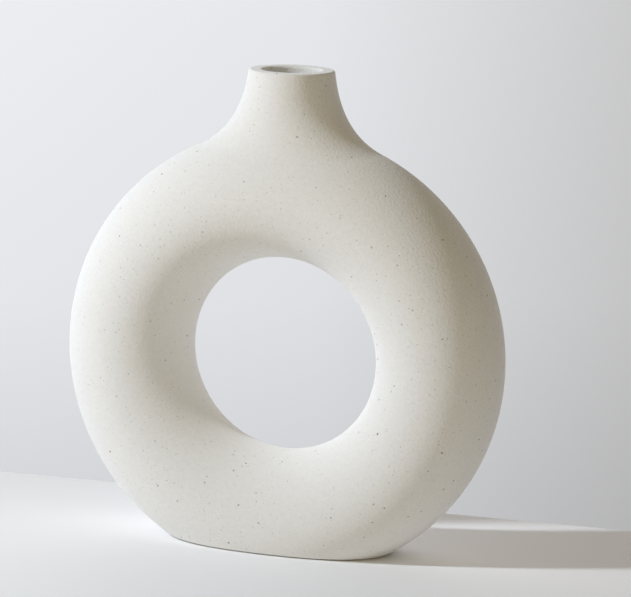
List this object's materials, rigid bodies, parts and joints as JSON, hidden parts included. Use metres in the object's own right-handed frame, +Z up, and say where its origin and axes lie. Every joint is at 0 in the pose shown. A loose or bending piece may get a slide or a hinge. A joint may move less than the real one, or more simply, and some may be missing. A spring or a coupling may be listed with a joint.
{
  "type": "vase",
  "caption": "Upright hollow ring vase in matte speckled ceramic, with a round hole through its middle, a short flared neck with a round mouth, and a flat foot.",
  "frame": {"origin": "on the table, under the middle of the foot", "axes": "+Z up along the neck, +X along the ring's width, +Y from the front to the back of the ring"},
  "size_m": [0.21, 0.0592, 0.2229],
  "materials": {
    "speckled_clay": "matte, finely grained, off-white with sparse dark specks",
    "slip": "matte, sponged flush with the clay beside it"
  },
  "bodies": {
    "root": {"front_shell": "speckled_clay", "rear_shell": "speckled_clay", "neck": "speckled_clay", "foot_slab": "speckled_clay", "hole_seam": "slip", "left_seam": "slip", "right_seam": "slip", "neck_seam": "slip", "foot_seam": "slip"}
  },
  "joints": []
}
